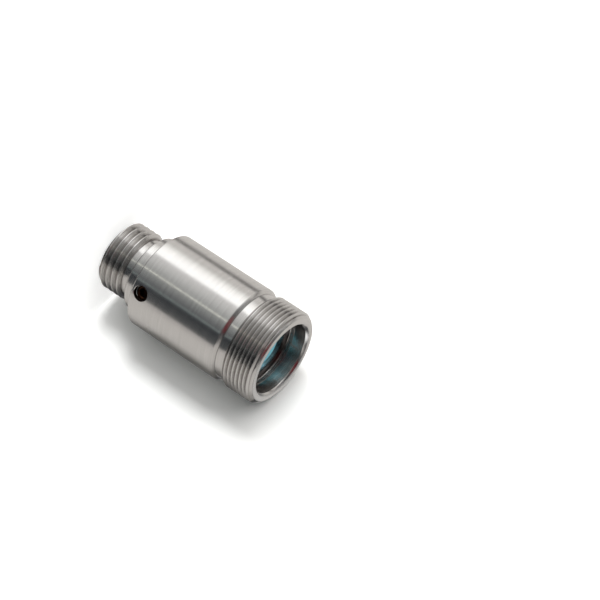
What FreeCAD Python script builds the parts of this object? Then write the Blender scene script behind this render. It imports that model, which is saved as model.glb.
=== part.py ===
"""Fibre adapter with a collimating lens, in millimetres.

A turned stainless barrel carries the lens in front, behind a bevelled retaining ring.
A turned fibre socket slides in the barrel from behind, to bring the fibre's end to the focus.
A socket screw in the barrel's wall runs in a slot of the socket and clamps it there.

Frame: +Z is the optical axis, towards the lens. The origin is the middle of the rear end,
on which the adapter stands. The set screw faces -Y.
"""
import FreeCAD, Part
import math
import os
import Sketcher

# Driving dimensions. Each is a cell of the sheet, and the pieces are bound to those cells.
SIZES = {
    # barrel, outside
    "barrel_diameter": 11.0,
    "barrel_length": 11.8,
    "barrel_edge": 0.15,
    "barrel_front_edge": 0.35,
    "relief_width": 0.93,
    "relief_diameter": 10.1,
    "front_thread_diameter": 10.95,
    "front_thread_length": 4.0,
    "front_thread_start": 0.28,
    "front_bevel": 0.5,
    # barrel, inside
    "front_bore_step": 0.075,
    "front_bore_bevel": 0.25,
    "front_bore_depth": 1.65,
    "rear_bore_depth": 8.5,
    # fibre socket
    "rear_thread_diameter": 7.9,
    "rear_thread_length": 3.1,
    "rear_thread_bevel": 0.33,
    "neck_diameter": 6.9,
    "neck_length": 1.05,
    "spigot_diameter": 8.7,
    "spigot_length": 7.4,
    "spigot_edge": 0.16,
    "collar_show": 1.5,
    "plug_recess_diameter": 6.0,
    "plug_recess_depth": 2.6,
    "plug_recess_bevel": 0.2,
    "ferrule_bore_diameter": 2.52,
    "ferrule_bore_length": 3.1,
    "ferrule_bore_bevel": 0.2,
    "ferrule_stop_diameter": 2.0,
    "ferrule_stop_thickness": 0.5,
    "socket_light_bore": 5.6,
    # lens, its cushion and its ring
    "lens_diameter": 7.7,
    "lens_front_curve": 7.4,
    "lens_thickness": 2.2,
    "lens_recess": 1.54,
    "lens_edge": 0.08,
    "cushion_width": 0.4,
    "cushion_thickness": 0.2,
    "ring_overhang": 0.2,
    "ring_grip": 0.275,
    "ring_rise": 0.28,
    "ring_bevel": 0.28,
    "ring_slope": 0.55,
    # set screw of 2 mm, drawn at the middle of its thread's depth
    "screw_diameter": 1.7,
    "screw_point_diameter": 1.0,
    "screw_point_length": 0.95,
    "screw_shoulder": 0.2,
    "screw_length": 1.6,
    "screw_edge": 0.12,
    "screw_key_width": 0.9,
    "screw_key_depth": 0.5,
    "screw_from_edge": 1.25,
    "screw_hole_sink": 0.05,
    "slot_floor_radius": 3.4,
    "slot_travel": 0.4,
    # clearances, each on the radius or on one side
    "slide_clearance": 0.02,
    "thread_clearance": 0.02,
    "lens_clearance": 0.03,
    "ring_clearance": 0.02,
    "point_clearance": 0.05,
    "seat_gap": 0.02,
}

doc = FreeCAD.newDocument("fibre_adapter")
sheet = doc.addObject("Spreadsheet::Sheet", "Sizes")
for row, (alias, value) in enumerate(SIZES.items(), start=1):
    sheet.set(f"A{row}", alias)
    sheet.set(f"B{row}", str(value))
    sheet.setAlias(f"B{row}", alias)
doc.recompute()


def radius(alias):
    """The expression for half of a diameter in the sheet."""
    return f"Sizes.{alias} / 2"


# Heights of the shoulders along the axis, from the rear end to the front face.
NECK_Z = "Sizes.rear_thread_length"
COLLAR_Z = f"{NECK_Z} + Sizes.neck_length"
BARREL_Z = f"{COLLAR_Z} + Sizes.collar_show"
RELIEF_Z = f"{BARREL_Z} + Sizes.barrel_length"
THREAD_Z = f"{RELIEF_Z} + Sizes.relief_width"
FRONT_Z = f"{THREAD_Z} + Sizes.front_thread_length"
SPIGOT_Z = f"{BARREL_Z} + Sizes.spigot_length"
SCREW_Z = f"{BARREL_Z} + Sizes.screw_from_edge"

# Radii of what holds the lens, all counted from the lens's own.
SEAT_R = "Sizes.lens_diameter / 2 - Sizes.cushion_width"
RING_R = "Sizes.lens_diameter / 2 + Sizes.ring_overhang"
OPENING_R = "Sizes.lens_diameter / 2 - Sizes.ring_grip"

# Heights of the lens stack, counted down from the front face.
APEX_Z = f"{FRONT_Z} - Sizes.lens_recess"
LENS_BACK_Z = f"{APEX_Z} - Sizes.lens_thickness"
SEAT_Z = f"{LENS_BACK_Z} - Sizes.cushion_thickness"
CURVE_Z = f"{APEX_Z} - Sizes.lens_front_curve"
RIM_DROP = "sqrt(Sizes.lens_front_curve ^ 2 - (Sizes.lens_diameter / 2) ^ 2)"
HOLD_DROP = f"sqrt(Sizes.lens_front_curve ^ 2 - ({OPENING_R}) ^ 2)"
HOLD_Z = f"{CURVE_Z} + {HOLD_DROP} + Sizes.seat_gap"
RING_FOOT_Z = f"{HOLD_Z} - Sizes.ring_slope * (Sizes.ring_overhang + Sizes.ring_grip)"


def origin_plane(body, role):
    """The body's own origin plane with that role."""
    return next(item for item in body.Origin.OriginFeatures if item.Role == role)


def new_body(name):
    body = doc.addObject("PartDesign::Body", name)
    body.Label = name
    return body


def turned(body, name, outline):
    """Turns a closed outline round the axis. A corner is (radius, height), and None stands for zero."""
    sketch = body.newObject("Sketcher::SketchObject", f"{name}_outline")
    sketch.AttachmentSupport = (origin_plane(body, "XZ_Plane"), [""])
    sketch.MapMode = "FlatFace"
    count = len(outline)
    # The corners start on a circle. The constraints below then give each its own place.
    start_radius = 5.0
    corners = []
    for index in range(count):
        turn = 2 * math.pi * index / count
        x = start_radius * (2 + math.cos(turn))
        y = start_radius * (2 + math.sin(turn))
        corners.append(FreeCAD.Vector(x, y, 0))
    for index in range(count):
        sketch.addGeometry(Part.LineSegment(corners[index], corners[(index + 1) % count]), False)
    for index in range(count):
        sketch.addConstraint(Sketcher.Constraint("Coincident", index, 2, (index + 1) % count, 1))
    for index, (across, along) in enumerate(outline):
        place(sketch, index, 1, across, along, corners[index])
    feature = body.newObject("PartDesign::Revolution", name)
    feature.Profile = sketch
    feature.ReferenceAxis = (sketch, ["V_Axis"])
    feature.Angle = 360
    return feature


def place(sketch, edge, end, across, along, start):
    """Holds one end of an edge at expressions for its radius and height."""
    if across is None:
        sketch.addConstraint(Sketcher.Constraint("PointOnObject", edge, end, -2))
    else:
        index = sketch.addConstraint(Sketcher.Constraint("DistanceX", -1, 1, edge, end, start.x))
        sketch.setExpression(f"Constraints[{index}]", across)
    if along is None:
        sketch.addConstraint(Sketcher.Constraint("PointOnObject", edge, end, -1))
    else:
        index = sketch.addConstraint(Sketcher.Constraint("DistanceY", -1, 1, edge, end, start.y))
        sketch.setExpression(f"Constraints[{index}]", along)


def cutter(body, name, kind, role, sizes, shift):
    """A subtractive primitive on an origin plane, with its sizes and its shift bound to the sheet."""
    tool = body.newObject(f"PartDesign::{kind}", name)
    tool.AttachmentSupport = (origin_plane(body, role), [""])
    tool.MapMode = "FlatFace"
    for prop, expression in sizes.items():
        tool.setExpression(prop, expression)
    for axis, expression in shift.items():
        tool.setExpression(f"AttachmentOffset.Base.{axis}", expression)
    return tool


def make_barrel():
    """Housing turned from bar, bored from both ends, with a tapped hole for the set screw."""
    body = new_body("barrel")
    outer = radius("barrel_diameter")
    thread = radius("front_thread_diameter")
    relief = radius("relief_diameter")
    bore = f"{RING_R} + Sizes.front_bore_step"
    rear_bore = f"{radius('spigot_diameter')} + Sizes.slide_clearance"
    ring_bore = f"{RING_R} + Sizes.ring_clearance"
    pocket = f"{radius('lens_diameter')} + Sizes.lens_clearance"
    bore_floor = f"{FRONT_Z} - Sizes.front_bore_depth"
    turned(body, "barrel_turned", [
        (f"{rear_bore} + Sizes.barrel_edge", BARREL_Z),
        (f"{outer} - Sizes.barrel_edge", BARREL_Z),
        (outer, f"{BARREL_Z} + Sizes.barrel_edge"),
        (outer, f"{RELIEF_Z} - Sizes.barrel_front_edge"),
        (f"{outer} - Sizes.barrel_front_edge", RELIEF_Z),
        (relief, RELIEF_Z),
        (relief, THREAD_Z),
        (thread, f"{THREAD_Z} + Sizes.front_thread_start"),
        (thread, f"{FRONT_Z} - Sizes.front_bevel"),
        (f"{thread} - Sizes.front_bevel", FRONT_Z),
        (f"{bore} + Sizes.front_bore_bevel", FRONT_Z),
        (bore, f"{FRONT_Z} - Sizes.front_bore_bevel"),
        (bore, bore_floor),
        (ring_bore, bore_floor),
        (ring_bore, f"{RING_FOOT_Z} - Sizes.seat_gap"),
        (pocket, f"{RING_FOOT_Z} - Sizes.seat_gap"),
        (pocket, SEAT_Z),
        (SEAT_R, SEAT_Z),
        (SEAT_R, f"{BARREL_Z} + Sizes.rear_bore_depth"),
        (rear_bore, f"{BARREL_Z} + Sizes.rear_bore_depth"),
        (rear_bore, f"{BARREL_Z} + Sizes.barrel_edge"),
    ])
    # The tapped hole and its countersunk mouth, both along the plane's normal, which is -Y.
    hole = f"{radius('screw_diameter')} + Sizes.thread_clearance"
    cutter(body, "screw_hole", "SubtractiveCylinder", "XZ_Plane",
           {"Radius": hole, "Height": outer},
           {"y": SCREW_Z})
    cutter(body, "screw_hole_mouth", "SubtractiveCone", "XZ_Plane",
           {"Radius1": hole,
            "Radius2": f"{hole} + 2 * Sizes.screw_hole_sink",
            "Height": "2 * Sizes.screw_hole_sink"},
           {"y": SCREW_Z, "z": f"{outer} - Sizes.screw_hole_sink"})
    return body


def make_fibre_socket():
    """Insert turned from bar: rear thread, neck, collar and sliding spigot, bored for a ferrule."""
    body = new_body("fibre_socket")
    thread = radius("rear_thread_diameter")
    neck = radius("neck_diameter")
    spigot = radius("spigot_diameter")
    recess = radius("plug_recess_diameter")
    ferrule = radius("ferrule_bore_diameter")
    stop = radius("ferrule_stop_diameter")
    light = radius("socket_light_bore")
    recess_floor = "Sizes.plug_recess_depth"
    stop_z = f"{recess_floor} + Sizes.ferrule_bore_length"
    stop_top = f"{stop_z} + Sizes.ferrule_stop_thickness"
    turned(body, "socket_turned", [
        (f"{recess} + Sizes.plug_recess_bevel", None),
        (f"{thread} - Sizes.rear_thread_bevel", None),
        (thread, "Sizes.rear_thread_bevel"),
        (thread, f"{NECK_Z} - ({thread} - {neck}) / 2"),
        (neck, NECK_Z),
        (neck, COLLAR_Z),
        (f"{spigot} - Sizes.spigot_edge", COLLAR_Z),
        (spigot, f"{COLLAR_Z} + Sizes.spigot_edge"),
        (spigot, f"{SPIGOT_Z} - Sizes.spigot_edge"),
        (f"{spigot} - Sizes.spigot_edge", SPIGOT_Z),
        (light, SPIGOT_Z),
        (light, stop_top),
        (stop, stop_top),
        (stop, stop_z),
        (ferrule, stop_z),
        (ferrule, f"{recess_floor} + Sizes.ferrule_bore_bevel"),
        (f"{ferrule} + Sizes.ferrule_bore_bevel", recess_floor),
        (recess, recess_floor),
        (recess, "Sizes.plug_recess_bevel"),
    ])
    # The slot for the screw's point: a straight middle and two round ends, open towards -Y.
    floor = "Sizes.slot_floor_radius"
    half_width = f"({radius('screw_point_diameter')} + Sizes.point_clearance)"
    depth = f"{spigot} - {floor} + Sizes.point_clearance"
    for name, side in (("slot_rear_end", "-"), ("slot_front_end", "+")):
        cutter(body, name, "SubtractiveCylinder", "XZ_Plane",
               {"Radius": half_width, "Height": depth},
               {"y": f"{SCREW_Z} {side} Sizes.slot_travel", "z": floor})
    cutter(body, "slot_middle", "SubtractiveBox", "XZ_Plane",
           {"Length": f"2 * {half_width}", "Width": "2 * Sizes.slot_travel", "Height": depth},
           {"x": f"-{half_width}", "y": f"{SCREW_Z} - Sizes.slot_travel", "z": floor})
    return body


def make_lens():
    """Plano-convex lens with its curved side to the front and a fine safety edge behind."""
    body = new_body("collimating_lens")
    sketch = body.newObject("Sketcher::SketchObject", "lens_outline")
    sketch.AttachmentSupport = (origin_plane(body, "XZ_Plane"), [""])
    sketch.MapMode = "FlatFace"
    # Start values near the final shape, so that the arc solves to the bulging side.
    rim = SIZES["lens_diameter"] / 2
    curve = SIZES["lens_front_curve"]
    drop = curve - math.sqrt(curve ** 2 - rim ** 2)
    back = SIZES["barrel_length"]
    apex = back + SIZES["lens_thickness"]
    corners = [
        FreeCAD.Vector(0, back, 0),
        FreeCAD.Vector(rim - SIZES["lens_edge"], back, 0),
        FreeCAD.Vector(rim, back + SIZES["lens_edge"], 0),
        FreeCAD.Vector(rim, apex - drop, 0),
    ]
    for first, second in zip(corners, corners[1:]):
        sketch.addGeometry(Part.LineSegment(first, second), False)
    centre = FreeCAD.Vector(0, apex - curve, 0)
    circle = Part.Circle(centre, FreeCAD.Vector(0, 0, 1), curve)
    arc = sketch.addGeometry(Part.ArcOfCircle(circle, math.acos(rim / curve), math.pi / 2), False)
    top = FreeCAD.Vector(0, apex, 0)
    axis_line = sketch.addGeometry(Part.LineSegment(top, corners[0]), False)
    for first, second in ((0, 1), (1, 2), (2, arc), (arc, axis_line), (axis_line, 0)):
        sketch.addConstraint(Sketcher.Constraint("Coincident", first, 2, second, 1))
    outer = radius("lens_diameter")
    place(sketch, 0, 1, None, LENS_BACK_Z, corners[0])
    place(sketch, 1, 1, f"{outer} - Sizes.lens_edge", LENS_BACK_Z, corners[1])
    place(sketch, 2, 1, outer, f"{LENS_BACK_Z} + Sizes.lens_edge", corners[2])
    place(sketch, 2, 2, outer, f"{CURVE_Z} + {RIM_DROP}", corners[3])
    place(sketch, axis_line, 1, None, APEX_Z, top)
    centre_of_arc = 3
    sketch.addConstraint(Sketcher.Constraint("PointOnObject", arc, centre_of_arc, -2))
    feature = body.newObject("PartDesign::Revolution", "lens_turned")
    feature.Profile = sketch
    feature.ReferenceAxis = (sketch, ["V_Axis"])
    feature.Angle = 360
    return body


def make_retaining_ring():
    """Thin ring screwed in over the lens's rim, bevelled towards the light and undercut to the glass."""
    body = new_body("lens_retaining_ring")
    top = f"{HOLD_Z} + Sizes.ring_rise"
    turned(body, "ring_turned", [
        (OPENING_R, HOLD_Z),
        (RING_R, RING_FOOT_Z),
        (RING_R, top),
        (f"{OPENING_R} + Sizes.ring_bevel", top),
    ])
    return body


def make_cushion():
    """Flat soft ring that keeps the glass off its steel seat."""
    body = new_body("lens_cushion")
    outer = radius("lens_diameter")
    turned(body, "cushion_turned", [
        (SEAT_R, SEAT_Z),
        (outer, SEAT_Z),
        (outer, LENS_BACK_Z),
        (SEAT_R, LENS_BACK_Z),
    ])
    return body


def make_set_screw():
    """Socket screw with a dog point, modelled along its own axis and then laid along -Y."""
    body = new_body("set_screw")
    thread = radius("screw_diameter")
    point = radius("screw_point_diameter")
    turned(body, "screw_turned", [
        (None, None),
        (point, None),
        (point, "Sizes.screw_point_length"),
        (thread, "Sizes.screw_point_length + Sizes.screw_shoulder"),
        (thread, "Sizes.screw_length - Sizes.screw_edge"),
        (f"{thread} - Sizes.screw_edge", "Sizes.screw_length"),
        (None, "Sizes.screw_length"),
    ])
    cutter(body, "screw_key", "SubtractivePrism", "XY_Plane",
           {"Circumradius": "Sizes.screw_key_width / sqrt(3)", "Height": "Sizes.screw_key_depth"},
           {"z": "Sizes.screw_length - Sizes.screw_key_depth"})
    quarter_turn = FreeCAD.Rotation(FreeCAD.Vector(1, 0, 0), 90)
    body.Placement = FreeCAD.Placement(FreeCAD.Vector(0, 0, 0), quarter_turn)
    body.setExpression("Placement.Base.y", "-(Sizes.slot_floor_radius + Sizes.seat_gap)")
    body.setExpression("Placement.Base.z", SCREW_Z)
    return body


bodies = [
    make_barrel(),
    make_fibre_socket(),
    make_lens(),
    make_retaining_ring(),
    make_cushion(),
    make_set_screw(),
]
doc.recompute()

for item in doc.Objects:
    if "Invalid" in item.State or "Error" in item.State:
        raise RuntimeError(f"{item.Label} failed: {item.State}")

os.makedirs("parts", exist_ok=True)
for body in bodies:
    shape = body.Shape
    if shape.isNull() or not shape.isValid() or len(shape.Solids) != 1:
        raise RuntimeError(f"{body.Label} isn't one valid solid")
    shape.exportStep(f"parts/{body.Label}.step")
    box = shape.BoundBox
    print(f"{body.Label}: {shape.Volume:.1f} mm3, z {box.ZMin:.2f} to {box.ZMax:.2f}")
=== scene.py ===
"""Looks of a fibre adapter with a collimating lens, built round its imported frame.

The script follows the adapter as it is put together: the fibre socket, the barrel, the lens
on its cushion, the retaining ring and the set screw. Then come the table, the studio and the
camera. Lengths are in millimetres up to the point where a mesh is made, which is in metres.
"""

import math

import bmesh
import bpy
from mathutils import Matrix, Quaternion, Vector


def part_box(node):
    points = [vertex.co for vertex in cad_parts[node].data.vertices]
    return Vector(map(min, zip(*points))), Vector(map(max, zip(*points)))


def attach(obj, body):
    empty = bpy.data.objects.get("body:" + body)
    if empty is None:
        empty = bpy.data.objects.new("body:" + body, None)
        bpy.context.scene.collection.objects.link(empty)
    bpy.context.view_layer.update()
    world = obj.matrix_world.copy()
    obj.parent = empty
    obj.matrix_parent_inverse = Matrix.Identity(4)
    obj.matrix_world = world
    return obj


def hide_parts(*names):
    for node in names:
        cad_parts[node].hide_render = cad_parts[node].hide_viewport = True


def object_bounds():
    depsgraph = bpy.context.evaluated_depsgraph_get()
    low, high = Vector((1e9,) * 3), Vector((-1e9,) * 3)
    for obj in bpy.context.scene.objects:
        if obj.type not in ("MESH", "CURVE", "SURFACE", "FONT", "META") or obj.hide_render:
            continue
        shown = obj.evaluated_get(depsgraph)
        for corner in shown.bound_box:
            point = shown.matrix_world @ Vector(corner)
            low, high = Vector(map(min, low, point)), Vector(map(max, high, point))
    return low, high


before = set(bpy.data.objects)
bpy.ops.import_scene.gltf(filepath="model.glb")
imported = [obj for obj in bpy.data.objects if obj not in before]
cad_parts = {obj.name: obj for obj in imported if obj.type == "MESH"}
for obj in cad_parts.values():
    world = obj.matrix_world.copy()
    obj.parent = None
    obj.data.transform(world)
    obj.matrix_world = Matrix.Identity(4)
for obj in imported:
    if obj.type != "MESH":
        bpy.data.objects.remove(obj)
cad_low, cad_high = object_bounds()


# Fibre socket: the rear insert that holds the fibre's ferrule at the focus of the lens.
# It is turned from one stainless steel bar and bored through. A coarse thread behind takes the
# plug's nut, and the smooth spigot in front slides in the barrel.
MM = 0.001
FACETS = 240
EDGE_ROUND = 0.03
END_STEP = 0.01
REAR_THREAD_PITCH = 0.75
REAR_THREAD_CREST = 3.95
REAR_THREAD_ROOT = 3.49
REAR_THREAD_START = 0.33
REAR_THREAD_RUNOUT = 2.85
REAR_GROOVE_HEIGHT = 0.3
# Painted shade in the thread grooves, where shade falls: its tone, and how far above the root it
# fades out.
THREAD_PAINTED_SHADE = "8A8683"
THREAD_PAINTED_SHADE_DEPTH = 0.15
NECK_START = 3.1
NECK_RADIUS = 3.45
COLLAR_START = 4.15
SPIGOT_EDGE = 0.16
RECESS_RADIUS = 3.0
RECESS_DEPTH = 2.6
FERRULE_RADIUS = 1.26
SOCKET_BEVEL = 0.2
STOP_RADIUS = 1.0
STOP_START = 5.7
STOP_END = 6.2
LIGHT_BORE_RADIUS = 2.8
SLOT_HALF_WIDTH = 0.55
SLOT_FLOOR = 3.4
SLOT_TRAVEL = 0.4
SCREW_HEIGHT = 6.9
SPIGOT_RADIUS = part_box("fibre_socket")[1].x / MM
SPIGOT_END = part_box("fibre_socket")[1].z / MM


def draw(bm, corners, rounding=EDGE_ROUND):
    """Draws an open outline of (radius, height) corners beside the axis, with its corners rounded."""
    verts = [bm.verts.new((radius * MM, 0, height * MM)) for radius, height in corners]
    for first, second in zip(verts, verts[1:]):
        bm.edges.new((first, second))
    if rounding:
        bmesh.ops.bevel(bm, geom=verts[1:-1], offset=rounding * MM, offset_type="OFFSET",
                        segments=2, profile=0.5, affect="VERTICES", material=-1)


def spin(bm, rise=0.0, facets=FACETS):
    """Turns all that is drawn once round the axis, rising by a thread's pitch on the way."""
    bmesh.ops.spin(bm, geom=bm.verts[:] + bm.edges[:], cent=(0, 0, 0), axis=(0, 0, 1),
                   dvec=(0, 0, rise * MM / facets), angle=2 * math.pi, steps=facets,
                   use_merge=rise == 0, use_duplicate=False)


def radius_at(blank, height):
    """The radius of a blank of (radius, height) corners, at a height."""
    for (radius, start), (next_radius, end) in zip(blank, blank[1:]):
        if height <= end:
            return radius + (next_radius - radius) * (height - start) / (end - start)
    return blank[-1][0]


def cut_thread(bm, blank, pitch, crest, root, root_height, facets=FACETS):
    """Adds a right-hand thread along a blank, trimmed to the blank's own ends and bevels.

    The tooth is the common 60 degree one. An inside thread has its root further out than its
    crest. root_height is the middle of a groove on the side where the turn starts, which is +X.
    """
    thread = bmesh.new()
    depth = abs(crest - root)
    flank = depth * math.tan(math.radians(30))
    root_flat = pitch / 6
    low, high = blank[0][1], blank[-1][1]
    first = math.floor((low - root_height) / pitch) - 1
    count = math.ceil((high - low) / pitch) + 3
    corners = []
    for turn in range(first, first + count):
        middle = root_height + turn * pitch
        corners += [(root, middle - root_flat / 2), (root, middle + root_flat / 2)]
        corners += [(crest, middle + root_flat / 2 + flank)]
        corners += [(crest, middle + pitch - root_flat / 2 - flank)]
    draw(thread, corners, rounding=pitch / 24)
    # The flanks are split, so that a bevelled blank trims them in small steps.
    steep = [edge for edge in thread.edges
             if abs(edge.verts[0].co.x - edge.verts[1].co.x) > depth * MM / 2]
    bmesh.ops.subdivide_edges(thread, edges=steep, cuts=3)
    spin(thread, rise=pitch, facets=facets)
    for vert in thread.verts:
        height = min(max(vert.co.z / MM, low), high)
        reach = math.hypot(vert.co.x, vert.co.y) / MM
        blank_radius = radius_at(blank, height)
        if crest > root:
            trimmed = min(reach, blank_radius)
        else:
            trimmed = max(reach, blank_radius)
        vert.co.x *= trimmed / reach
        vert.co.y *= trimmed / reach
        vert.co.z = height * MM
    mesh = bpy.data.meshes.new("thread")
    thread.to_mesh(mesh)
    thread.free()
    bm.from_mesh(mesh)
    bpy.data.meshes.remove(mesh)


WELD_DISTANCE = 0.0005
SLIVER_WIDTH = 0.0002
SHARP_ANGLE = math.radians(33)


def make_piece(bm, name):
    """A new object from the drawn parts of a closed piece, smooth but for its sharp edges."""
    bmesh.ops.remove_doubles(bm, verts=bm.verts, dist=WELD_DISTANCE * MM)
    bmesh.ops.dissolve_degenerate(bm, edges=bm.edges, dist=SLIVER_WIDTH * MM)
    bmesh.ops.recalc_face_normals(bm, faces=bm.faces)
    mesh = bpy.data.meshes.new(name)
    bm.to_mesh(mesh)
    bm.free()
    mesh.shade_smooth()
    mesh.set_sharp_from_angle(angle=SHARP_ANGLE)
    piece = bpy.data.objects.new(name, mesh)
    bpy.context.scene.collection.objects.link(piece)
    return piece


def cut_away(piece, tool):
    """Takes the tool's shape out of a piece, and drops the tool."""
    cut = piece.modifiers.new("cut", "BOOLEAN")
    cut.operation = "DIFFERENCE"
    cut.solver = "EXACT"
    cut.object = tool
    whole = piece.data
    depsgraph = bpy.context.evaluated_depsgraph_get()
    piece.data = bpy.data.meshes.new_from_object(piece.evaluated_get(depsgraph))
    piece.data.name = piece.name
    piece.modifiers.clear()
    bpy.data.meshes.remove(whole)
    bpy.data.meshes.remove(tool.data)


# What counts as the straight wall: how far its faces may lean, and lie off its radius.
WALL_TILT = 0.02
WALL_TOLERANCE = 0.01


def shade_round(piece, wall_radius):
    """Shades a piece smooth, and its straight wall of that radius as a true cylinder."""
    mesh = piece.data
    mesh.shade_smooth()
    mesh.set_sharp_from_angle(angle=SHARP_ANGLE)
    normals = [Vector(corner.vector) for corner in mesh.corner_normals]
    for face in mesh.polygons:
        reach = math.hypot(face.center.x, face.center.y) / MM
        if abs(face.normal.z) < WALL_TILT and abs(reach - wall_radius) < WALL_TOLERANCE:
            for corner in face.loop_indices:
                place = mesh.vertices[mesh.loops[corner].vertex_index].co
                normals[corner] = Vector((place.x, place.y, 0)).normalized()
    mesh.normals_split_custom_set(normals)


def fit(piece, node, body, material):
    """Gives a finished piece its material and its body, in place of its node."""
    piece.data.materials.clear()
    piece.data.materials.append(material)
    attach(piece, body)
    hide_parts(node)


def colour(code):
    """An sRGB hex colour as linear red, green, blue and alpha."""
    channels = [int(code[start:start + 2], 16) / 255 for start in (0, 2, 4)]
    linear = [c / 12.92 if c <= 0.04045 else ((c + 0.055) / 1.055) ** 2.4 for c in channels]
    return (*linear, 1.0)


def add_node(tree, kind, inputs=None, **settings):
    """Adds a node with its settings, and a value or a link for each socket that is named."""
    node = tree.nodes.new("ShaderNode" + kind)
    for name, value in settings.items():
        setattr(node, name, value)
    for name, value in (inputs or {}).items():
        if isinstance(value, bpy.types.NodeSocket):
            tree.links.new(value, node.inputs[name])
        else:
            node.inputs[name].default_value = value
    return node


def new_material(name, **values):
    """A material whose surface is a Principled shader with the values that are given."""
    material = bpy.data.materials.new(name)
    material.use_nodes = True
    surface = material.node_tree.nodes["Principled BSDF"]
    for socket, value in values.items():
        surface.inputs[socket.replace("_", " ")].default_value = value
    return material, material.node_tree, surface


# The turned rings run off true by RING_DRIFT of the way across.
# Painted shade goes on inwards past its root by the reach below.
RING_DRIFT = 0.012
PAINTED_SHADE_REACH = 0.45


def turned_steel(name, tone, dark_tone, feed, marks, painted_shades=()):
    """Bright stainless steel from the lathe.

    The tool leaves rings one feed apart round the axis, so a reflection stays sharp round the
    piece and is drawn out along it. feed is in millimetres, and marks is the rings' strength.
    Painted shade darkens the threads and holes, where shade falls. Each is given as (low, high,
    root, crest, tone): full between those heights from the root inwards, and gone at the crest.
    """
    material, tree, surface = new_material(
        name, Metallic=1.0, Roughness=0.25, Anisotropic=0.92, Anisotropic_Rotation=0.25)
    place = add_node(tree, "TexCoord").outputs["Object"]
    parts = add_node(tree, "SeparateXYZ", {"Vector": place})
    flat = add_node(tree, "CombineXYZ", {"X": parts.outputs["X"], "Y": parts.outputs["Y"]})
    reach = add_node(tree, "VectorMath", {0: flat.outputs["Vector"]}, operation="LENGTH")
    drift = add_node(tree, "Math", {0: parts.outputs["X"], 1: RING_DRIFT}, operation="MULTIPLY")
    rings = add_node(tree, "CombineXYZ", {
        "X": reach.outputs["Value"], "Y": drift.outputs["Value"], "Z": parts.outputs["Z"]})
    feed_rings = add_node(tree, "TexNoise", {
        "Vector": rings.outputs["Vector"], "Scale": 1 / (feed * MM), "Detail": 3.0,
        "Roughness": 0.65})
    # Wider rings, nine feeds apart, vary the haze.
    wide_rings = add_node(tree, "TexNoise", {
        "Vector": rings.outputs["Vector"], "Scale": 1 / (9 * feed * MM), "Detail": 2.0})
    tones = add_node(tree, "ValToRGB", {"Fac": feed_rings.outputs["Fac"]})
    tones.color_ramp.elements[0].position = 0.3
    tones.color_ramp.elements[0].color = colour(dark_tone)
    tones.color_ramp.elements[1].position = 0.7
    tones.color_ramp.elements[1].color = colour(tone)
    tone_with_painted_shade = tones.outputs["Color"]
    # Each painted shade darkens the tone towards its shade tone in a recess, where shade falls.
    for *limits, painted_shade_tone in painted_shades:
        low, high, root, crest = (size * MM for size in limits)
        depth = add_node(tree, "MapRange", {
            "Value": reach.outputs["Value"], "From Min": crest, "From Max": root})
        painted_shade_mask = depth.outputs["Result"]
        for value, limit, side in (
                (parts.outputs["Z"], low, "GREATER_THAN"), (parts.outputs["Z"], high, "LESS_THAN"),
                (reach.outputs["Value"], root - PAINTED_SHADE_REACH * MM, "GREATER_THAN")):
            inside = add_node(tree, "Math", {0: value, 1: limit}, operation=side)
            painted_shade_mask = add_node(tree, "Math", {
                0: painted_shade_mask, 1: inside.outputs["Value"]}, operation="MULTIPLY").outputs["Value"]
        # Sockets 6 and 7 of a Mix node are its two colours.
        tone_with_painted_shade = add_node(tree, "Mix", {"Factor": painted_shade_mask, 6: tone_with_painted_shade, 7: colour(painted_shade_tone)},
                         data_type="RGBA").outputs[2]
    tree.links.new(tone_with_painted_shade, surface.inputs["Base Color"])
    haze = add_node(tree, "MapRange", {
        "Value": wide_rings.outputs["Fac"], "From Min": 0.3, "From Max": 0.7,
        "To Min": 0.2, "To Max": 0.28})
    tree.links.new(haze.outputs["Result"], surface.inputs["Roughness"])
    relief = add_node(tree, "Bump", {
        "Height": feed_rings.outputs["Fac"], "Strength": marks, "Distance": 0.1 * feed * MM})
    tree.links.new(relief.outputs["Normal"], surface.inputs["Normal"])
    around = add_node(tree, "VectorMath", {0: (0, 0, 1), 1: place}, operation="CROSS_PRODUCT")
    grain = add_node(tree, "VectorTransform", {"Vector": around.outputs["Vector"]},
                     vector_type="VECTOR", convert_from="OBJECT", convert_to="WORLD")
    tree.links.new(grain.outputs["Vector"], surface.inputs["Tangent"])
    return material


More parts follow.
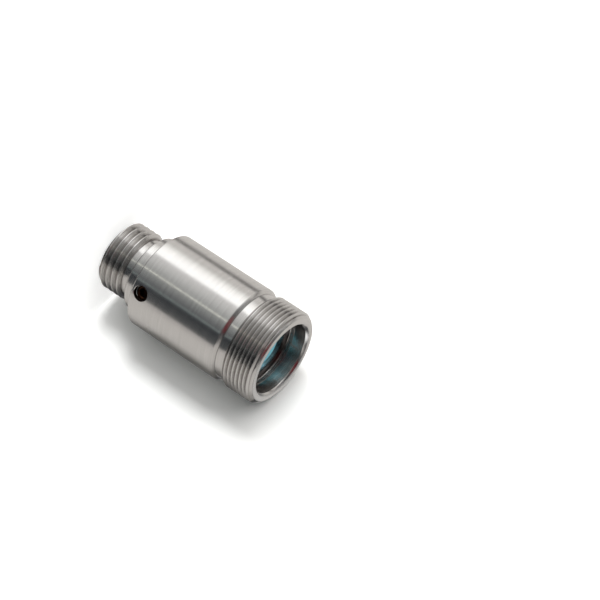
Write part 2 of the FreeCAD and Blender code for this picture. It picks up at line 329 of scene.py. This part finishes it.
# A blank's height has to grow from corner to corner, so its flat end rises by END_STEP.
rear_thread_blank = [
    (REAR_THREAD_ROOT - END_STEP, 0.0),
    (REAR_THREAD_CREST - REAR_THREAD_START, END_STEP),
    (REAR_THREAD_CREST, REAR_THREAD_START),
    (REAR_THREAD_CREST, REAR_THREAD_RUNOUT),
    (NECK_RADIUS, NECK_START),
]
socket_bm = bmesh.new()
draw(socket_bm, [
    rear_thread_blank[-1],
    (NECK_RADIUS, COLLAR_START),
    (SPIGOT_RADIUS - SPIGOT_EDGE, COLLAR_START),
    (SPIGOT_RADIUS, COLLAR_START + SPIGOT_EDGE),
    (SPIGOT_RADIUS, SPIGOT_END - SPIGOT_EDGE),
    (SPIGOT_RADIUS - SPIGOT_EDGE, SPIGOT_END),
    (LIGHT_BORE_RADIUS, SPIGOT_END),
    (LIGHT_BORE_RADIUS, STOP_END),
    (STOP_RADIUS, STOP_END),
    (STOP_RADIUS, STOP_START),
    (FERRULE_RADIUS, STOP_START),
    (FERRULE_RADIUS, RECESS_DEPTH + SOCKET_BEVEL),
    (FERRULE_RADIUS + SOCKET_BEVEL, RECESS_DEPTH),
    (RECESS_RADIUS, RECESS_DEPTH),
    (RECESS_RADIUS, SOCKET_BEVEL),
    (RECESS_RADIUS + SOCKET_BEVEL, 0.0),
    rear_thread_blank[0],
])
spin(socket_bm)
cut_thread(socket_bm, rear_thread_blank, REAR_THREAD_PITCH, REAR_THREAD_CREST,
           REAR_THREAD_ROOT, REAR_GROOVE_HEIGHT)
fibre_socket = make_piece(socket_bm, "fibre_socket_turned")

# The slot that the set screw's point runs in: round ends, flat floor, open towards -Y.
SLOT_FACETS = 48
SLOT_TOOL_LENGTH = 2
slot_bm = bmesh.new()
bmesh.ops.create_circle(slot_bm, cap_ends=True, segments=SLOT_FACETS, radius=SLOT_HALF_WIDTH * MM)
half_facet = Quaternion((0, 0, 1), math.pi / SLOT_FACETS).to_matrix()
bmesh.ops.rotate(slot_bm, verts=slot_bm.verts, matrix=half_facet)
lay_down = Quaternion((1, 0, 0), math.pi / 2).to_matrix()
bmesh.ops.rotate(slot_bm, verts=slot_bm.verts, matrix=lay_down)
for vert in slot_bm.verts:
    vert.co.z += math.copysign(SLOT_TRAVEL * MM, vert.co.z)
    vert.co += Vector((0, -SLOT_FLOOR, SCREW_HEIGHT)) * MM
slot_walls = bmesh.ops.extrude_face_region(slot_bm, geom=slot_bm.faces[:])
bmesh.ops.translate(slot_bm, vec=(0, -SLOT_TOOL_LENGTH * MM, 0), verts=[
    item for item in slot_walls["geom"] if isinstance(item, bmesh.types.BMVert)])
cut_away(fibre_socket, make_piece(slot_bm, "slot_tool"))
# Painted shade darkens the rear thread's grooves.
rear_thread_painted_shade = (0.0, NECK_START, REAR_THREAD_ROOT, REAR_THREAD_ROOT + THREAD_PAINTED_SHADE_DEPTH, THREAD_PAINTED_SHADE)
socket_steel = turned_steel("turned_stainless_socket", "D0CFCD", "BCBAB8", feed=0.06, marks=0.12,
                            painted_shades=[rear_thread_painted_shade])
shade_round(fibre_socket, SPIGOT_RADIUS)
fit(fibre_socket, "fibre_socket", "socket", socket_steel)


# Barrel: the housing, turned from one stainless steel bar and bored from both ends.
# Its front has a fine outside thread with a bevelled start, a relief groove behind it, and
# inside a short fine thread that the retaining ring is screwed into.
BARREL_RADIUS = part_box("barrel")[1].x / MM
BARREL_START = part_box("barrel")[0].z / MM
BARREL_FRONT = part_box("barrel")[1].z / MM
BARREL_EDGE = 0.15
BARREL_FRONT_EDGE = 0.35
BARREL_LENGTH = 11.8
RELIEF_RADIUS = 5.05
RELIEF_WIDTH = 0.93
FRONT_THREAD_PITCH = 0.5
FRONT_THREAD_CREST = 5.475
FRONT_THREAD_ROOT = 5.17
FRONT_THREAD_RAMP = 0.28
FRONT_GROOVE_HEIGHT = 18.76
# How far above the root the painted shade in the front thread's grooves fades out.
FRONT_THREAD_PAINTED_SHADE_DEPTH = 0.12
FRONT_BEVEL = 0.5
FRONT_BEVEL_PAST_ROOT = 0.05
FRONT_BORE_RADIUS = 4.125
FRONT_BORE_BEVEL = 0.25
FRONT_BORE_DEPTH = 1.65
RING_BORE_RADIUS = 4.07
RING_BORE_DEPTH = 2.722
RING_TOP_DEPTH = 2.161
RING_THREAD_PITCH = 0.17
RING_THREAD_RAMP = 0.04
RING_THREAD_GAP = 0.02
RING_GROOVE_HEIGHT = 20.5
# Painted shade in the front bore, where shade falls: its tone, and the width over which it fades.
BORE_PAINTED_SHADE = "7C7875"
BORE_PAINTED_SHADE_BLUR = 0.05
LENS_POCKET_RADIUS = 3.88
LENS_SEAT_DEPTH = 3.94
LIGHT_PATH_RADIUS = 3.45
REAR_BORE_RADIUS = 4.37
REAR_BORE_DEPTH = 8.5
SCREW_HOLE_RADIUS = 0.87
SCREW_HOLE_SINK = 0.05
SCREW_PITCH = 0.4
SCREW_THREAD_DEPTH = 0.07
SCREW_GROOVE_HEIGHT = 0.1
HOLE_MARGIN = 1.1
# Painted shade in the screw's hole, where shade falls: its tone, how it fades, and how far it reaches
# each way along the axis.
HOLE_PAINTED_SHADE = "2E2522"
HOLE_PAINTED_SHADE_BLUR = 0.05
HOLE_PAINTED_SHADE_MARGIN = 1

relief_start = BARREL_START + BARREL_LENGTH
relief_end = relief_start + RELIEF_WIDTH
# The thread's blank takes in as much of the front bevel as the thread is deep, and a little more.
bevel_depth = FRONT_THREAD_CREST - FRONT_THREAD_ROOT + FRONT_BEVEL_PAST_ROOT
front_thread_blank = [
    (RELIEF_RADIUS, relief_end),
    (FRONT_THREAD_CREST, relief_end + FRONT_THREAD_RAMP),
    (FRONT_THREAD_CREST, BARREL_FRONT - FRONT_BEVEL),
    (FRONT_THREAD_CREST - bevel_depth, BARREL_FRONT - FRONT_BEVEL + bevel_depth),
]
ring_thread_end = BARREL_FRONT - FRONT_BORE_DEPTH
ring_top = BARREL_FRONT - RING_TOP_DEPTH
ring_thread_blank = [
    (FRONT_BORE_RADIUS, ring_top + RING_THREAD_GAP),
    (RING_BORE_RADIUS, ring_top + RING_THREAD_GAP + RING_THREAD_RAMP),
    (RING_BORE_RADIUS, ring_thread_end - RING_THREAD_RAMP),
    (FRONT_BORE_RADIUS, ring_thread_end),
]
barrel_bm = bmesh.new()
draw(barrel_bm, [
    front_thread_blank[-1],
    (FRONT_THREAD_CREST - FRONT_BEVEL, BARREL_FRONT),
    (FRONT_BORE_RADIUS + FRONT_BORE_BEVEL, BARREL_FRONT),
    (FRONT_BORE_RADIUS, BARREL_FRONT - FRONT_BORE_BEVEL),
    ring_thread_blank[-1],
])
draw(barrel_bm, [
    ring_thread_blank[0],
    (RING_BORE_RADIUS, ring_top - RING_THREAD_RAMP),
    (RING_BORE_RADIUS, BARREL_FRONT - RING_BORE_DEPTH),
    (LENS_POCKET_RADIUS, BARREL_FRONT - RING_BORE_DEPTH),
    (LENS_POCKET_RADIUS, BARREL_FRONT - LENS_SEAT_DEPTH),
    (LIGHT_PATH_RADIUS, BARREL_FRONT - LENS_SEAT_DEPTH),
    (LIGHT_PATH_RADIUS, BARREL_START + REAR_BORE_DEPTH),
    (REAR_BORE_RADIUS, BARREL_START + REAR_BORE_DEPTH),
    (REAR_BORE_RADIUS, BARREL_START + BARREL_EDGE),
    (REAR_BORE_RADIUS + BARREL_EDGE, BARREL_START),
    (BARREL_RADIUS - BARREL_EDGE, BARREL_START),
    (BARREL_RADIUS, BARREL_START + BARREL_EDGE),
    # A corner on the straight wall, so that the screw's hole is cut into a short stretch of it.
    (BARREL_RADIUS, SCREW_HEIGHT + HOLE_MARGIN),
    (BARREL_RADIUS, relief_start - BARREL_FRONT_EDGE),
    (BARREL_RADIUS - BARREL_FRONT_EDGE, relief_start),
    (RELIEF_RADIUS, relief_start),
    front_thread_blank[0],
])
spin(barrel_bm)
cut_thread(barrel_bm, front_thread_blank, FRONT_THREAD_PITCH, FRONT_THREAD_CREST,
           FRONT_THREAD_ROOT, FRONT_GROOVE_HEIGHT)
cut_thread(barrel_bm, ring_thread_blank, RING_THREAD_PITCH, RING_BORE_RADIUS,
           FRONT_BORE_RADIUS, RING_GROOVE_HEIGHT)
barrel = make_piece(barrel_bm, "barrel_turned")

# The hole for the set screw: drilled with its countersunk mouth, then tapped below the mouth.
# Each tool is made along the axis and laid towards -Y.
SCREW_FACETS = 64
TOOL_OVERLAP = 0.6
TAP_DEPTH = 0.15
TAP_RAMP = 0.1
TAP_INSET = 0.01
hole_start = REAR_BORE_RADIUS - TOOL_OVERLAP
mouth_height = BARREL_RADIUS - SCREW_HOLE_SINK
mouth_end = BARREL_RADIUS + 2 * SCREW_HOLE_SINK
tap_end = mouth_height - TAP_DEPTH
tap_radius = SCREW_HOLE_RADIUS - TAP_INSET
tap_crest = SCREW_HOLE_RADIUS + SCREW_THREAD_DEPTH
tap_blank = [
    (tap_radius, hole_start),
    (tap_crest, hole_start + TAP_RAMP),
    (tap_crest, tap_end - TAP_RAMP),
    (tap_radius, tap_end),
]


def lay_towards_screw(bm):
    """Lays a tool or screw that was made along the axis out towards -Y, at the screw's height."""
    bmesh.ops.rotate(bm, verts=bm.verts, matrix=lay_down)
    bmesh.ops.translate(bm, verts=bm.verts, vec=(0, 0, SCREW_HEIGHT * MM))


drill_bm = bmesh.new()
draw(drill_bm, [
    (0.0, hole_start),
    (SCREW_HOLE_RADIUS, hole_start),
    (SCREW_HOLE_RADIUS, mouth_height),
    (SCREW_HOLE_RADIUS + 3 * SCREW_HOLE_SINK, mouth_end),
    (0.0, mouth_end),
], rounding=0)
spin(drill_bm, facets=SCREW_FACETS)
lay_towards_screw(drill_bm)
cut_away(barrel, make_piece(drill_bm, "drill_tool"))
tap_bm = bmesh.new()
draw(tap_bm, [(0.0, hole_start), tap_blank[0]], rounding=0)
draw(tap_bm, [tap_blank[-1], (0.0, tap_end)], rounding=0)
spin(tap_bm, facets=SCREW_FACETS)
cut_thread(tap_bm, tap_blank, SCREW_PITCH, tap_crest, tap_radius, SCREW_GROOVE_HEIGHT,
           facets=SCREW_FACETS)
lay_towards_screw(tap_bm)
cut_away(barrel, make_piece(tap_bm, "tap_tool"))
# Painted shade darkens the front thread's grooves.
front_thread_painted_shade = (relief_end, BARREL_FRONT - FRONT_BEVEL / 2, FRONT_THREAD_ROOT,
               FRONT_THREAD_ROOT + FRONT_THREAD_PAINTED_SHADE_DEPTH, THREAD_PAINTED_SHADE)
# Painted shade darkens the front bore's wall.
bore_painted_shade = (ring_top, BARREL_FRONT - FRONT_BORE_BEVEL, FRONT_BORE_RADIUS - BORE_PAINTED_SHADE_BLUR,
             FRONT_BORE_RADIUS + BORE_PAINTED_SHADE_BLUR, BORE_PAINTED_SHADE)
# Painted shade darkens the wall of the screw's hole.
hole_painted_shade = (SCREW_HEIGHT - HOLE_PAINTED_SHADE_MARGIN, SCREW_HEIGHT + HOLE_PAINTED_SHADE_MARGIN,
             mouth_height - HOLE_PAINTED_SHADE_BLUR, mouth_height, HOLE_PAINTED_SHADE)
barrel_steel = turned_steel("turned_stainless_barrel", "D2D1CF", "C1BFBD", feed=0.05, marks=0.1,
                            painted_shades=[front_thread_painted_shade, bore_painted_shade, hole_painted_shade])
shade_round(barrel, BARREL_RADIUS)
fit(barrel, "barrel", "barrel", barrel_steel)


# Lens cushion: a flat ring of black rubber between the glass and its steel seat.
# It is punched from sheet, so its edges are soft and its surface is matt.
CUSHION_WIDTH = 0.4
CUSHION_ROUND = 0.04
CUSHION_MIDDLE = 0.1
PORE_SIZE = 0.08
PORE_DEPTH = 0.01
cushion_low, cushion_high = (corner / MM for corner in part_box("lens_cushion"))
cushion_inside = cushion_high.x - CUSHION_WIDTH
cushion_bm = bmesh.new()
draw(cushion_bm, [
    (cushion_inside, cushion_low.z + CUSHION_MIDDLE),
    (cushion_inside, cushion_low.z),
    (cushion_high.x, cushion_low.z),
    (cushion_high.x, cushion_high.z),
    (cushion_inside, cushion_high.z),
    (cushion_inside, cushion_low.z + CUSHION_MIDDLE),
], rounding=CUSHION_ROUND)
spin(cushion_bm)
cushion = make_piece(cushion_bm, "lens_cushion_ring")
rubber, tree, surface = new_material("punched_black_rubber", Roughness=0.75)
grain = add_node(tree, "TexNoise", {
    "Vector": add_node(tree, "TexCoord").outputs["Object"], "Scale": 1 / (PORE_SIZE * MM)})
rubber_tones = add_node(tree, "ValToRGB", {"Fac": grain.outputs["Fac"]})
rubber_tones.color_ramp.elements[0].color = colour("0E0E0F")
rubber_tones.color_ramp.elements[1].color = colour("232324")
tree.links.new(rubber_tones.outputs["Color"], surface.inputs["Base Color"])
pores = add_node(tree, "Bump", {
    "Height": grain.outputs["Fac"], "Strength": 0.3, "Distance": PORE_DEPTH * MM})
tree.links.new(pores.outputs["Normal"], surface.inputs["Normal"])
fit(cushion, "lens_cushion", "barrel", rubber)


# Collimating lens: optical glass, ground and polished, its curved side to the front.
# Its coating reflects cyan, and a fine safety edge runs round its flat side.
LENS_CURVE = 7.4
LENS_EDGE = 0.08
LENS_STEPS = 40
LENS_FACETS = 128
lens_low, lens_high = (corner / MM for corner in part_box("collimating_lens"))
lens_bm = bmesh.new()
curve_centre = Vector((0, 0, lens_high.z - LENS_CURVE)) * MM
top = lens_bm.verts.new((0, 0, lens_high.z * MM))
bmesh.ops.spin(lens_bm, geom=[top], cent=curve_centre, axis=(0, 1, 0), dvec=(0, 0, 0),
               angle=math.asin(lens_high.x / LENS_CURVE), steps=LENS_STEPS,
               use_merge=False, use_duplicate=False)
rim = max(lens_bm.verts, key=lambda vert: vert.co.x)
side = lens_bm.verts.new((lens_high.x * MM, 0, (lens_low.z + LENS_EDGE) * MM))
lens_bm.edges.new((rim, side))
foot = lens_bm.verts.new(((lens_high.x - LENS_EDGE) * MM, 0, lens_low.z * MM))
lens_bm.edges.new((side, foot))
lens_bm.edges.new((foot, lens_bm.verts.new((0, 0, lens_low.z * MM))))
spin(lens_bm, facets=LENS_FACETS)
lens = make_piece(lens_bm, "collimating_lens_ground")
glass, tree, surface = new_material(
    "coated_optical_glass", Metallic=0.75, Roughness=0.02, IOR=1.52)
surface.inputs["Transmission Weight"].default_value = 1.0
edge_glow = add_node(tree, "LayerWeight", {"Blend": 0.35})
coat_tones = add_node(tree, "ValToRGB", {"Fac": edge_glow.outputs["Facing"]})
coat_tones.color_ramp.elements[0].color = colour("8CE4F2")
coat_tones.color_ramp.elements[1].color = colour("35AACB")
tree.links.new(coat_tones.outputs["Color"], surface.inputs["Base Color"])
fit(lens, "collimating_lens", "barrel", glass)


# Retaining ring: a thin steel ring screwed in over the lens's rim.
# Its front is bevelled towards the light, and it is undercut to the curve of the glass.
# It sits deep in the bore, so its front is darkened with painted shade.
RING_BEVEL = 0.28
RING_OPENING = 3.575
RING_SLOPE = 0.55
RING_EDGE_ROUND = 0.015
# Painted shade on the ring's front, deep in the bore: its tone, and how far it reaches past the ring.
RING_PAINTED_SHADE = "4E4A48"
RING_PAINTED_SHADE_MARGIN = 0.05
RING_PAINTED_SHADE_RISE = 0.01
ring_low, ring_high = (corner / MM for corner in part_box("lens_retaining_ring"))
ring_middle = (ring_low.z + ring_high.z) / 2
lip_height = ring_low.z + RING_SLOPE * (ring_high.x - RING_OPENING)
ring_bm = bmesh.new()
draw(ring_bm, [
    (ring_high.x, ring_middle),
    (ring_high.x, ring_high.z),
    (RING_OPENING + RING_BEVEL, ring_high.z),
    (RING_OPENING, lip_height),
    (ring_high.x, ring_low.z),
    (ring_high.x, ring_middle),
], rounding=RING_EDGE_ROUND)
spin(ring_bm)
ring = make_piece(ring_bm, "lens_retaining_ring_turned")
# The ring's front is darkened with painted shade.
ring_painted_shade = (ring_low.z, ring_high.z + RING_PAINTED_SHADE_RISE, RING_OPENING + RING_BEVEL,
             ring_high.x + RING_PAINTED_SHADE_MARGIN, RING_PAINTED_SHADE)
ring_steel = turned_steel("turned_stainless_ring", "D4D3D1", "BFBEBC", feed=0.04, marks=0.1,
                          painted_shades=[ring_painted_shade])
fit(ring, "lens_retaining_ring", "barrel", ring_steel)


# Set screw: a socket screw with a dog point, in blackened steel.
# Its thread grips the barrel's wall and its point runs in the socket's slot.
SCREW_RADIUS = 0.85
SCREW_POINT_RADIUS = 0.5
SCREW_POINT_LENGTH = 0.95
SCREW_SHOULDER = 0.2
SCREW_EDGE = 0.12
SCREW_RAMP = 0.06
SCREW_TOP_STEP = 0.02
SCREW_KEY_WIDTH = 0.9
SCREW_KEY_DEPTH = 0.5
STAIN_SIZE = 0.3
screw_foot = -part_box("set_screw")[1].y / MM
screw_top = -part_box("set_screw")[0].y / MM
shoulder_end = screw_foot + SCREW_POINT_LENGTH + SCREW_SHOULDER
screw_root = SCREW_RADIUS - SCREW_THREAD_DEPTH
screw_blank = [
    (screw_root - END_STEP, shoulder_end - SCREW_RAMP),
    (SCREW_RADIUS, shoulder_end),
    (SCREW_RADIUS, screw_top - SCREW_EDGE),
    (screw_root - END_STEP, screw_top - END_STEP),
]
screw_bm = bmesh.new()
draw(screw_bm, [
    (0.0, screw_foot),
    (SCREW_POINT_RADIUS, screw_foot),
    (SCREW_POINT_RADIUS, screw_foot + SCREW_POINT_LENGTH),
    screw_blank[0],
])
draw(screw_bm, [
    screw_blank[-1],
    (SCREW_RADIUS - SCREW_EDGE - SCREW_TOP_STEP, screw_top),
    (0.0, screw_top),
], rounding=0)
spin(screw_bm, facets=SCREW_FACETS)
cut_thread(screw_bm, screw_blank, SCREW_PITCH, SCREW_RADIUS, screw_root, SCREW_GROOVE_HEIGHT,
           facets=SCREW_FACETS)
lay_towards_screw(screw_bm)
screw = make_piece(screw_bm, "set_screw_threaded")
key_bm = bmesh.new()
key_corner = SCREW_KEY_WIDTH / math.sqrt(3) * MM
bmesh.ops.create_cone(key_bm, cap_ends=True, segments=6, radius1=key_corner, radius2=key_corner,
                      depth=2 * SCREW_KEY_DEPTH * MM)
bmesh.ops.rotate(key_bm, verts=key_bm.verts, matrix=lay_down)
bmesh.ops.translate(key_bm, verts=key_bm.verts, vec=Vector((0, -screw_top, SCREW_HEIGHT)) * MM)
cut_away(screw, make_piece(key_bm, "key_tool"))
black_steel, tree, surface = new_material("blackened_screw_steel", Metallic=1.0, Roughness=0.35)
stains = add_node(tree, "TexNoise", {
    "Vector": add_node(tree, "TexCoord").outputs["Object"], "Scale": 1 / (STAIN_SIZE * MM),
    "Detail": 3.0})
stain_tones = add_node(tree, "ValToRGB", {"Fac": stains.outputs["Fac"]})
stain_tones.color_ramp.elements[0].position = 0.35
stain_tones.color_ramp.elements[0].color = colour("161312")
stain_tones.color_ramp.elements[1].position = 0.7
stain_tones.color_ramp.elements[1].color = colour("43291B")
tree.links.new(stain_tones.outputs["Color"], surface.inputs["Base Color"])
fit(screw, "set_screw", "screw", black_steel)


# Table and floor: white matt board. The floor carries the standing adapter.
# The table is the board that the adapter lies against in the picture, turned with it.
TABLE_TURN = math.radians(53.94)
BOARD_SIZE = 0.9
FLOOR_LIFT = 0.45
TABLE_GAP = 4.5
table_up = Vector((-math.sin(TABLE_TURN), -math.cos(TABLE_TURN), 0))
table_along = Vector((math.cos(TABLE_TURN), -math.sin(TABLE_TURN), 0))


def white_board(name, corners, lift=0.0, gap=0.0):
    """A one-sided white board, which the camera sees lighter by lift.

    The strip behind the adapter, gap millimetres to each side, lets reflections through.
    """
    bm = bmesh.new()
    bm.faces.new([bm.verts.new(corner) for corner in corners])
    mesh = bpy.data.meshes.new(name)
    bm.to_mesh(mesh)
    bm.free()
    board = bpy.data.objects.new(name, mesh)
    bpy.context.scene.collection.objects.link(board)
    material = bpy.data.materials.new(name + "_matt_white")
    material.use_nodes = True
    tree = material.node_tree
    tree.nodes.clear()
    ray = add_node(tree, "LightPath")
    # Sockets 6 and 7 of a Mix node are its two colours.
    tone = add_node(tree, "Mix", {
        "Factor": ray.outputs["Is Glossy Ray"], 6: colour("F2F2F1"), 7: colour("AEABA8")},
        data_type="RGBA")
    matt = add_node(tree, "BsdfDiffuse", {"Color": tone.outputs[2]})
    seen = add_node(tree, "Math", {0: ray.outputs["Is Camera Ray"], 1: lift}, operation="MULTIPLY")
    glow = add_node(tree, "Emission", {"Strength": seen.outputs["Value"]})
    front = add_node(tree, "AddShader", {0: matt.outputs["BSDF"], 1: glow.outputs["Emission"]})
    place = add_node(tree, "TexCoord").outputs["Object"]
    across = add_node(tree, "VectorMath", {0: place, 1: table_along}, operation="DOT_PRODUCT")
    away = add_node(tree, "Math", {0: across.outputs["Value"]}, operation="ABSOLUTE")
    inside = add_node(tree, "Math", {0: away.outputs["Value"], 1: gap * MM}, operation="LESS_THAN")
    # Only the reflections that the camera sees in the steel pass, not those that light a board.
    direct = add_node(tree, "Math", {
        0: ray.outputs["Diffuse Depth"], 1: 0.5}, operation="LESS_THAN")
    sharp = add_node(tree, "Math", {
        0: direct.outputs["Value"], 1: ray.outputs["Is Glossy Ray"]}, operation="MULTIPLY")
    passed = add_node(tree, "Math", {
        0: inside.outputs["Value"], 1: sharp.outputs["Value"]}, operation="MULTIPLY")
    behind = add_node(tree, "NewGeometry").outputs["Backfacing"]
    clear = add_node(tree, "Math", {0: passed.outputs["Value"], 1: behind}, operation="MAXIMUM")
    see_through = add_node(tree, "BsdfTransparent")
    both = add_node(tree, "MixShader", {
        0: clear.outputs["Value"], 1: front.outputs["Shader"], 2: see_through.outputs["BSDF"]})
    add_node(tree, "OutputMaterial", {"Surface": both.outputs["Shader"]})
    board.data.materials.append(material)
    return board


half_board = BOARD_SIZE / 2
floor = white_board("floor", [
    (-half_board, -half_board, 0), (half_board, -half_board, 0),
    (half_board, half_board, 0), (-half_board, half_board, 0)], lift=FLOOR_LIFT)
floor.visible_shadow = False
floor.visible_diffuse = False
floor.visible_glossy = False
touch = -table_up * BARREL_RADIUS * MM
table_corners = []
for across, along in ((-1, -1), (1, -1), (1, 1), (-1, 1)):
    corner = table_along * across + Vector((0, 0, along))
    table_corners.append(touch + corner * half_board)
table = white_board("table", table_corners, gap=TABLE_GAP)
table.visible_shadow = False


# Studio: one large soft lamp on the far side of the table and a wide fill, over a plain level.
# The steel shows the room's panels as bands along it. Each band is the tone that the steel
# takes, at an angle round the axis from the table's upright, and positive towards the camera.
ROOM_GAIN = 1.8
FILL_GAIN = 2.6
room_bands = [
    (-128, "4A4B4D"), (-112, "9A9896"), (-89, "9A9896"), (-86, "5C5A59"), (-77.5, "5C5A59"),
    (-75, "C4C1BE"), (-58, "B2B0AD"), (-42, "F2F1EF"), (-30, "FFFFFF"), (-17, "FFFFFF"),
    (-15.2, "BEBDBC"), (2, "B0B0AF"), (22.6, "888A89"), (24.2, "FFFFF4"), (25.8, "818382"),
    (35, "757777"), (50, "505254"), (53.6, "7C8583"), (55.5, "3A3C40"), (62, "2C2E31"),
    (70, "3A3C3E"), (86.5, "3A3C3E"), (88, "A09D9A"), (96, "A09D9A"), (112, "4A4B4D"),
    (148, "FFFFFF"), (162, "38383A"), (196, "38383A"), (200, "ABAAA8"), (222, "ABAAA8"),
]
world = bpy.data.worlds.new("studio")
bpy.context.scene.world = world
world.use_nodes = True
tree = world.node_tree
tree.nodes.clear()
ray = add_node(tree, "LightPath")
direction = add_node(tree, "TexCoord").outputs["Generated"]
upright = math.atan2(table_up.y, table_up.x)
turned = add_node(tree, "VectorRotate", {
    "Vector": direction, "Angle": -upright}, rotation_type="Z_AXIS")
angle = add_node(tree, "TexGradient", {"Vector": turned.outputs["Vector"]}, gradient_type="RADIAL")
bands = add_node(tree, "ValToRGB", {"Fac": angle.outputs["Fac"]})
for degrees, tone in room_bands:
    share = (degrees / 360 + 0.5) % 1
    element = bands.color_ramp.elements.new(share)
    element.color = colour(tone)
bands.color_ramp.elements.remove(bands.color_ramp.elements[0])
bands.color_ramp.elements.remove(bands.color_ramp.elements[-1])
# Far above and below, which only ends and bevels show, the room is dark.
height = add_node(tree, "SeparateXYZ", {"Vector": direction}).outputs["Z"]
ends = add_node(tree, "ValToRGB", {"Fac": add_node(tree, "MapRange", {
    "Value": height, "From Min": -1.0, "From Max": 1.0}).outputs["Result"]})
ends.color_ramp.elements[0].color = colour("5A5A5B")
ends.color_ramp.elements[1].color = colour("2C2C2E")
over = add_node(tree, "MapRange", {
    "Value": height, "From Min": 0.66, "From Max": 0.74}, interpolation_type="SMOOTHSTEP")
under = add_node(tree, "MapRange", {
    "Value": height, "From Min": -0.8, "From Max": -0.88}, interpolation_type="SMOOTHSTEP")
beyond = add_node(tree, "Math", {
    0: over.outputs["Result"], 1: under.outputs["Result"]}, operation="ADD")
room = add_node(tree, "Mix", {
    "Factor": beyond.outputs["Value"], 6: bands.outputs["Color"], 7: ends.outputs["Color"]},
    data_type="RGBA")
# A round maroon panel high up on the near side, seen in the bevels that face forward.
PANEL_TURN = math.radians(246.2)
PANEL_RISE = math.radians(68)
PANEL_SIZE = math.radians(15)
PANEL_BLUR = math.radians(1)
panel_place = Vector((math.cos(PANEL_TURN) * math.cos(PANEL_RISE),
                      math.sin(PANEL_TURN) * math.cos(PANEL_RISE), math.sin(PANEL_RISE)))
nearness = add_node(tree, "VectorMath", {0: direction, 1: panel_place}, operation="DOT_PRODUCT")
on_panel = add_node(tree, "MapRange", {
    "Value": nearness.outputs["Value"], "From Min": math.cos(PANEL_SIZE + PANEL_BLUR),
    "From Max": math.cos(PANEL_SIZE - PANEL_BLUR)})
with_panel = add_node(tree, "Mix", {
    "Factor": on_panel.outputs["Result"], 6: room.outputs[2], 7: colour("5A0010")},
    data_type="RGBA").outputs[2]
shown_in_steel = add_node(tree, "Background", {"Color": with_panel, "Strength": ROOM_GAIN})
fill = add_node(tree, "Background", {"Color": room.outputs[2], "Strength": FILL_GAIN})
white = add_node(tree, "Background", {"Color": colour("FFFFFF"), "Strength": 1.0})
sharp_ray = add_node(tree, "Math", {
    0: ray.outputs["Is Glossy Ray"], 1: ray.outputs["Is Transmission Ray"]}, operation="MAXIMUM")
mirrored = add_node(tree, "MixShader", {
    0: sharp_ray.outputs["Value"], 1: fill.outputs["Background"],
    2: shown_in_steel.outputs["Background"]})
seen = add_node(tree, "MixShader", {
    0: ray.outputs["Is Camera Ray"], 1: mirrored.outputs["Shader"], 2: white.outputs["Background"]})
add_node(tree, "OutputWorld", {"Surface": seen.outputs["Shader"]})

# The lamp is square and aimed at the middle of the adapter, unseen by the camera and the steel.
LAMP_DISTANCE = 0.3
LAMP_SIZE = 0.12
LAMP_POWER = 0.75
LAMP_LEAN_BACK = 0.384
LAMP_LEAN_TO_REAR = 0.2
towards_lamp = table_up - table_along * LAMP_LEAN_BACK - Vector((0, 0, LAMP_LEAN_TO_REAR))
lamp_data = bpy.data.lights.new("key_lamp", "AREA")
lamp_data.shape = "SQUARE"
lamp_data.size = LAMP_SIZE
lamp_data.energy = LAMP_POWER
lamp = bpy.data.objects.new("key_lamp", lamp_data)
bpy.context.scene.collection.objects.link(lamp)
lamp.location = (cad_low + cad_high) / 2 + towards_lamp.normalized() * LAMP_DISTANCE
lamp.rotation_mode = "QUATERNION"
lamp.rotation_quaternion = (-towards_lamp).to_track_quat("-Z", "Y")
lamp.visible_glossy = False
lamp.visible_camera = False


# Camera: at the photograph's angle and distance, which looks at the adapter as if it lay.
# The standing adapter is therefore seen from its side, with the picture turned to match.
VIEW_TURN = math.radians(-23.82)
VIEW_RISE = math.radians(21.94)
VIEW_ROLL = math.radians(122.78)
VIEW_DISTANCE = 220.79
SENSOR_WIDTH = 36.0
LENS_LENGTH = 127.15
aim = Vector((-5.714, 2.522, 20.36)) * MM
back = Vector((math.sin(VIEW_TURN) * math.cos(VIEW_RISE),
               -math.cos(VIEW_TURN) * math.cos(VIEW_RISE),
               math.sin(VIEW_RISE)))
camera_data = bpy.data.cameras.new("camera")
camera_data.sensor_width = SENSOR_WIDTH
camera_data.lens = LENS_LENGTH
camera_data.clip_start = 0.01
camera_data.clip_end = 5.0
camera = bpy.data.objects.new("camera", camera_data)
bpy.context.scene.collection.objects.link(camera)
camera.location = aim + back * VIEW_DISTANCE * MM
camera.rotation_mode = "QUATERNION"
camera.rotation_quaternion = (-back).to_track_quat("-Z", "Y") @ Quaternion((0, 0, 1), VIEW_ROLL)
bpy.context.scene.camera = camera
bpy.context.scene.view_settings.view_transform = "Standard"
